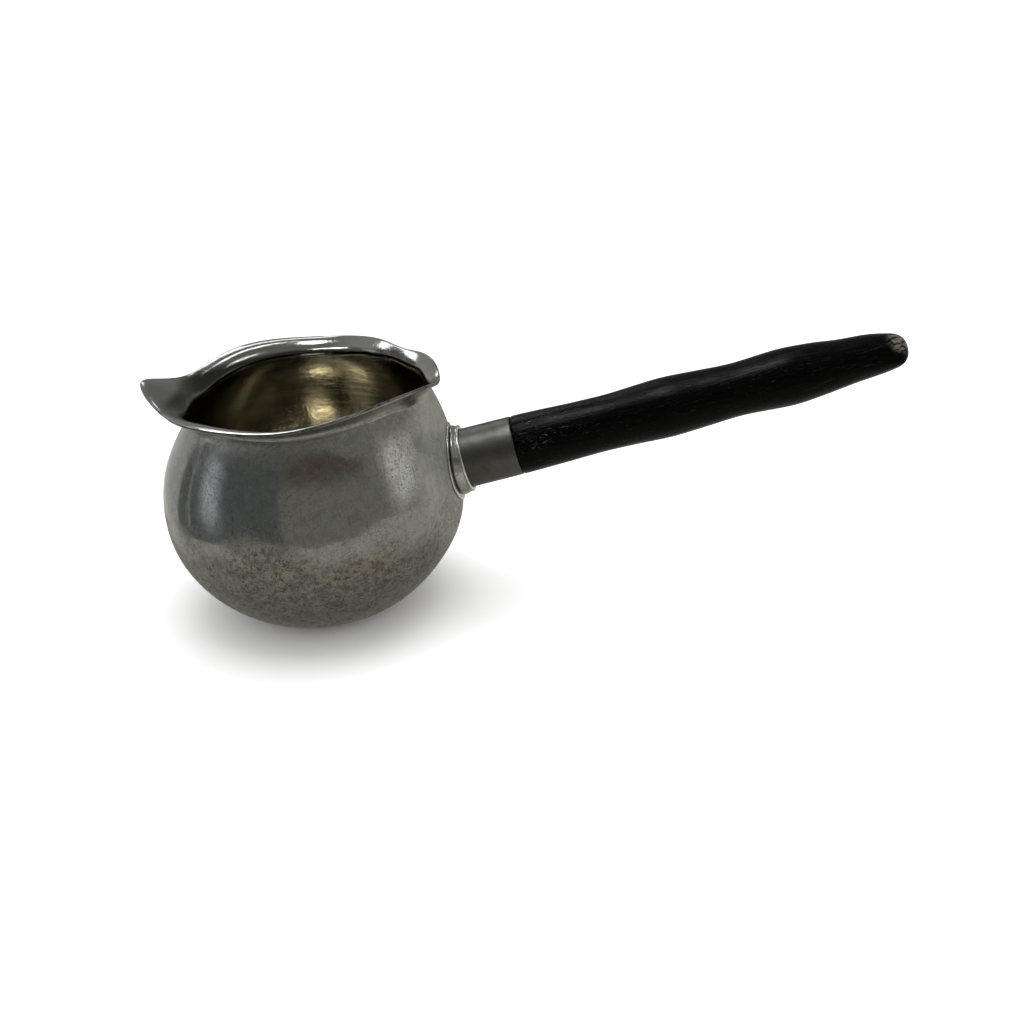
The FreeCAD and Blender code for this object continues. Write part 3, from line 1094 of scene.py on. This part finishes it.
@dataclass
class Grip:
    """The turned wooden grip: it swells twice, tapers to a round tip, and has a tenon in the ferrule."""

    axis: HandleAxis
    shoulder: float = 62.9 * MM
    tenon_start: float = 47.0 * MM
    tenon_radius: float = 7.9 * MM
    stations: Sequence[Point2] = (
        (63.0, 8.8), (75.0, 8.5), (88.5, 8.15), (98.5, 8.4), (108.3, 8.8), (117.5, 8.3), (127.6, 7.7),
        (136.0, 8.1), (143.4, 8.5), (151.0, 7.85), (159.5, 6.85), (168.0, 6.2), (174.2, 4.9))
    tip: float = 177.0 * MM
    tip_sag: float = 0.35 * MM
    segments: int = 48

    def radius_at(self, distance: float) -> float:
        """Radius of the grip at a distance, by a smooth curve through its stations."""
        distances, radii = zip(*self.stations)
        return through_stations(distances, radii, distance / MM, level_ends=False) * MM

    def outline(self) -> list[Point2]:
        """The grip's outline, from the tenon's end to the tip."""
        edge = 0.35 * MM
        points = [(self.tenon_start, 3 * MM), (self.tenon_start, self.tenon_radius - edge),
                  (self.tenon_start + edge, self.tenon_radius), (self.shoulder - edge, self.tenon_radius),
                  (self.shoulder, self.tenon_radius), (self.shoulder + 0.02 * MM, 8.3 * MM),
                  (self.shoulder + edge, 8.68 * MM)]
        distance = self.shoulder + 3 * edge
        while distance < 174 * MM:
            points.append((distance, self.radius_at(distance)))
            distance += 3.4 * MM
        points += [(174.5 * MM, 4.75 * MM), (176.0 * MM, 3.6 * MM), (176.8 * MM, 2.2 * MM),
                   (self.tip, 0.9 * MM)]
        return points

    def make(self) -> bpy.types.Object:
        """Build and dress the grip."""
        piece = turn_outline("handle_grip_wood", self.outline(), self.segments, Close.SOLID)
        self.carve(piece)
        self.axis.mount(piece)
        settle(piece)
        add_subdivision(piece, 2)
        apply_modifiers(piece)
        smooth(piece, 60)
        wood = StainedWood("stained_wood", self.axis.tilt, self.axis.height,
                           foot=self.axis.at(self.shoulder + 4 * MM),
                           tip=self.axis.at(174 * MM) + Vector((0, -2.5 * MM, 3.6 * MM)))
        piece.data.materials.append(wood.make())
        return piece

    def carve(self, piece: bpy.types.Object) -> None:
        """Make the turned grip a little uneven, as hands and knocks have left it, and wear its tip."""
        edit(piece)
        dice = random.Random(11)
        for _ in range(22):
            distance = dice.uniform(70, 168) * MM
            angle = math.radians(dice.uniform(0, 360))
            radius = self.radius_at(distance)
            aim = Vector((radius * math.cos(angle), radius * math.sin(angle), distance))
            press_in(piece, aim, dice.uniform(0.08, 0.22) * MM, dice.uniform(6, 12) * MM)
        pick_points(piece, lambda co: co.z > 174 * MM)
        pull((self.tip_sag, 0, 0), 14 * MM)
        bpy.ops.object.mode_set(mode="OBJECT")


# ---------------------------------------------------------------- studio and camera


@dataclass(frozen=True)
class Reflection:
    """A soft-edged patch of the room that the metal reflects."""

    azimuth: float
    elevation: float
    width: float
    height: float
    colour: Colour
    edge: float = 3.0


@dataclass
class Studio:
    """A pale floor and surround, soft lights, and a room and a table top that only show in reflections."""

    room_radius: float = 1.4
    sheet_centre: Sequence[float] = (0.06, 0.0, 0.0008)
    sheet_size: Sequence[float] = (0.35, 0.31)
    reflections: Sequence[Reflection] = (
        Reflection(-40, 8, 128, 60, (0.33, 0.33, 0.30, 1), 2),
        Reflection(-70, 25, 70, 20, (0.16, 0.13, 0.105, 1), 12),
        Reflection(-7, 8, 22, 26, (1.2, 1.22, 1.15, 1), 16),
        Reflection(38, 12, 60, 60, (0.75, 0.75, 0.68, 1), 12),
        Reflection(140, -4, 46, 70, (0.62, 0.62, 0.61, 1), 8),
        Reflection(-153, 8, 94, 76, (0.17, 0.185, 0.19, 1), 1.2),
        Reflection(-163, 3, 17, 28, (0.85, 0.9, 1.0, 1), 15),
        Reflection(174, 0, 1.6, 36, (0.7, 0.72, 0.75, 1), 0.8),
    )
    windows: Sequence[Reflection] = (
        Reflection(85, 67, 18, 8, (6, 6.1, 6.2, 1), 2),
        Reflection(105, 42, 14, 9, (4.5, 4.6, 4.7, 1), 2),
        Reflection(-14, 55, 26, 9, (6, 6.1, 6.2, 1), 2),
        Reflection(169, 25, 17, 12, (4.5, 4.6, 4.7, 1), 2),
        Reflection(113, 34, 12, 9, (4.5, 4.6, 4.7, 1), 2),
        Reflection(180, 84, 140, 23, (11, 11.2, 11.4, 1), 4),
    )
    ceiling_facing: float = -100
    ceiling_lift: float = 0.785
    ceiling_least: float = 0.36
    over_mouth: Sequence[float] = (-0.03, -0.029, 0.1)
    over_mouth_size: Sequence[float] = (0.044, 0.009)
    in_bowl: Sequence[float] = (-0.0065, -0.034, 0.034)
    in_bowl_size: Sequence[float] = (0.019, 0.032)
    over_mouth_glow: float = 30.0
    in_bowl_colour: Colour = (2.0, 1.95, 1.8, 1)
    strip_colour: Colour = (26, 25, 23, 1)
    strip_bottom: float = 17 * MM
    strip_top: float = 22.5 * MM
    surround: float = 1.12
    softbox_side: float = 0.8
    softbox_power: float = 5.0

    def make(self) -> None:
        """Build the floor, the surround, what the metal reflects, and the lights."""
        self.make_floor()
        self.make_world()
        self.make_room()
        self.make_sheet()
        self.make_mouth_glow()
        self.make_inner_glow()
        self.area_light("top_softbox", (0.05, 0.1, 0.9), (0.03, 0.0, 0.03))

    def stage(self, thing: bpy.types.Object, material: bpy.types.Material) -> None:
        """Dress a thing of the studio with its material."""
        thing.data.materials.append(material)

    def only_in_reflections(self, thing: bpy.types.Object) -> None:
        """Hide a thing from everything but mirror-like reflections."""
        thing.visible_camera = False
        thing.visible_diffuse = False
        thing.visible_transmission = False
        thing.visible_shadow = False

    def make_floor(self) -> None:
        """Add the floor as a wide disc of a pale, slightly uneven finish."""
        deselect_everything()
        bpy.ops.mesh.primitive_circle_add(vertices=96, radius=12, fill_type="NGON")
        floor = new_piece("studio_floor")
        bench = Bench("pale_floor")
        grain = bench.noise(bench.place, 9, 3)
        bench.links.new(bench.blend(grain, (0.92, 0.92, 0.92, 1), (0.95, 0.95, 0.95, 1)),
                        bench.shader.inputs["Base Color"])
        bench.shader.inputs["Roughness"].default_value = 0.9
        bench.shader.inputs["Specular IOR Level"].default_value = 0.1
        floor.visible_glossy = False
        self.stage(floor, bench.material)

    def make_world(self) -> None:
        """Make the surround even and pale."""
        world = bpy.data.worlds.new("surround")
        bpy.context.scene.world = world
        world.use_nodes = True
        background = world.node_tree.nodes["Background"]
        background.inputs["Color"].default_value = (1, 1, 1, 1)
        background.inputs["Strength"].default_value = self.surround

    def make_room(self) -> None:
        """Add a globe around everything that glows as the room does, seen only in reflections."""
        deselect_everything()
        bpy.ops.mesh.primitive_uv_sphere_add(segments=48, ring_count=24, radius=self.room_radius)
        room = new_piece("reflected_room")
        bench = Bench("room_glow")
        height = bench.maths("DIVIDE", bench.axis(bench.place, "Z"), self.room_radius)
        elevation = bench.maths("DEGREES", bench.maths("ARCSINE", height))
        table = bench.window(elevation, -14, -4)
        colour = bench.blend(table, (0.12, 0.115, 0.1, 1), (0.3, 0.3, 0.28, 1))
        for patch in self.reflections:
            colour = bench.blend(self.patch_mask(bench, patch, elevation), colour, patch.colour)
        facing = bench.mapped((1, 1, 1), (0, 0, self.ceiling_facing))
        ahead = bench.maths("DIVIDE", bench.axis(facing, "X"), self.room_radius)
        aside = bench.maths("DIVIDE", bench.axis(facing, "Y"), self.room_radius)
        line = bench.maths("MAXIMUM", bench.times(ahead, self.ceiling_lift), self.ceiling_least)
        ceiling = bench.window(bench.maths("SUBTRACT", height, line), -0.015, 0.015)
        ceiling_colour = bench.blend(bench.window(aside, -0.7, -0.1), (0.6, 0.6, 0.57, 1), (0.33, 0.33, 0.3, 1))
        colour = bench.blend(ceiling, colour, ceiling_colour)
        for patch in self.windows:
            colour = bench.blend(self.patch_mask(bench, patch, elevation), colour, patch.colour)
        bench.glow(colour)
        self.only_in_reflections(room)
        self.stage(room, bench.material)

    def patch_mask(self, bench: Bench, patch: Reflection,
                   elevation: bpy.types.NodeSocket) -> bpy.types.NodeSocket:
        """Mask one patch of the room.

        Args:
            bench: The room's material.
            patch: Where the patch is, in degrees.
            elevation: Degrees above the horizon.

        Returns:
            1 inside the patch, 0 outside.
        """
        faced = bench.mapped((1, 1, 1), (0, 0, patch.azimuth))
        turned = bench.maths("ARCTAN2", bench.axis(faced, "Y"), bench.axis(faced, "X"))
        across = bench.maths("ABSOLUTE", bench.maths("DEGREES", turned))
        above = bench.maths("ABSOLUTE", bench.maths("SUBTRACT", elevation, patch.elevation))
        wide = bench.window(across, patch.width / 2 + patch.edge / 2, patch.width / 2 - patch.edge / 2)
        tall = bench.window(above, patch.height / 2 + patch.edge / 2, patch.height / 2 - patch.edge / 2)
        return bench.times(wide, tall)

    def add_card(self, name: str, place: Sequence[float], size: Sequence[float],
                 tilt: float = 0.0) -> bpy.types.Object:
        """Add a flat card.

        Args:
            name: Its name.
            place: Its middle.
            size: Its two sides.
            tilt: Degrees that it is raised about X.

        Returns:
            The card, with its place in its mesh.
        """
        deselect_everything()
        bpy.ops.mesh.primitive_plane_add(size=1, location=place, rotation=(math.radians(tilt), 0, 0))
        card = new_piece(name)
        card.scale = (*size, 1)
        settle(card)
        return card

    def make_sheet(self) -> None:
        """Add the pale sheet under the pot as the metal sees it, seen only in reflections."""
        sheet = self.add_card("reflected_sheet", self.sheet_centre, self.sheet_size)
        bench = Bench("sheet_glow")
        shade = bench.window(bench.distance((0.0, 0.0, 0.0)), 20 * MM, 110 * MM, 0.3, 0.64)
        bench.glow(bench.blend(shade, (0, 0, 0, 1), (1.0, 0.98, 0.88, 1)))
        self.only_in_reflections(sheet)
        self.stage(sheet, bench.material)

    def make_mouth_glow(self) -> None:
        """Add a small bright card over the mouth that only the inside of the bowl reflects."""
        card = self.add_card("reflected_card", self.over_mouth, self.over_mouth_size)
        bench = Bench("card_glow")
        cloud = bench.noise(bench.place, 60)
        bench.glow(bench.blend(cloud, (1, 0.97, 0.9, 1), (0.9, 0.88, 0.82, 1)), self.over_mouth_glow)
        self.only_in_reflections(card)
        self.stage(card, bench.material)

    def make_inner_glow(self) -> None:
        """Add a card before the bowl's near wall that only the bowl's inside reflects, with a bright strip."""
        card = self.add_card("reflected_inner_card", self.in_bowl, self.in_bowl_size, tilt=90)
        bench = Bench("inner_glow")
        height = bench.axis(bench.place, "Z")
        strip = bench.times(bench.window(height, self.strip_bottom, self.strip_bottom + 1.5 * MM),
                            bench.window(height, self.strip_top, self.strip_top - 1 * MM))
        bench.glow(bench.blend(strip, self.in_bowl_colour, self.strip_colour))
        self.only_in_reflections(card)
        self.stage(card, bench.material)

    def area_light(self, name: str, place: Sequence[float], aim: Sequence[float]) -> None:
        """Hang the soft square light.

        Args:
            name: Its name.
            place: Where it hangs.
            aim: What it points at.
        """
        data = bpy.data.lights.new(name, "AREA")
        data.shape = "RECTANGLE"
        data.size = data.size_y = self.softbox_side
        data.energy = self.softbox_power
        light = bpy.data.objects.new(name, data)
        light.visible_glossy = False
        bpy.context.scene.collection.objects.link(light)
        light.location = place
        toward = Vector(aim) - Vector(place)
        light.rotation_euler = toward.to_track_quat("-Z", "Y").to_euler()


@dataclass
class ViewPoint:
    """The camera: from the pot's side, looking down on it."""

    aim: Vector = field(default_factory=lambda: Vector((58.93, 0.0, 26.21)) * MM)
    distance: float = 362.7 * MM
    elevation: float = 27.0
    yaw: float = -1.2
    roll: float = -2.0
    sensor: float = 36.0
    lens: float = 42.19

    def make(self) -> None:
        """Create the camera and make it the scene's own."""
        up_angle, yaw, roll = (math.radians(a) for a in (self.elevation, self.yaw, self.roll))
        forward = Vector((math.sin(yaw) * math.cos(up_angle), math.cos(yaw) * math.cos(up_angle),
                          -math.sin(up_angle)))
        level = Vector((math.cos(yaw), -math.sin(yaw), 0))
        upright = level.cross(forward)
        right = level * math.cos(roll) + upright * math.sin(roll)
        up = upright * math.cos(roll) - level * math.sin(roll)
        data = bpy.data.cameras.new("view_point")
        data.sensor_width = self.sensor
        data.lens = self.lens
        data.clip_start = 0.01
        camera = bpy.data.objects.new("view_point", data)
        bpy.context.scene.collection.objects.link(camera)
        turn = Matrix((right, up, -forward)).transposed()
        camera.matrix_world = Matrix.Translation(self.aim - forward * self.distance) @ turn.to_4x4()
        bpy.context.scene.camera = camera


# ---------------------------------------------------------------- putting it together


def hand_over(piece: bpy.types.Object, node: str) -> None:
    """Let a finished piece stand for its CAD node, and report it."""
    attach(piece, BODY)
    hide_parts(node)
    log.info("%s stands for %s: %d faces", piece.name, node, len(piece.data.polygons))


def main() -> None:
    """Build the pot around its frame, then the studio and the camera."""
    logging.basicConfig(level=logging.INFO, format="%(name)s: %(message)s")
    _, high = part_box("bowl")
    axis = HandleAxis()
    bowl = Bowl(belly_radius=high.y).make()
    hand_over(bowl, "bowl")
    for node, piece in Socket(axis).make(bowl).items():
        hand_over(piece, node)
    hand_over(Grip(axis).make(), "handle_grip")
    Studio().make()
    ViewPoint().make()
    bpy.context.scene.view_settings.view_transform = "Standard"


if __name__ == "__main__":
    main()
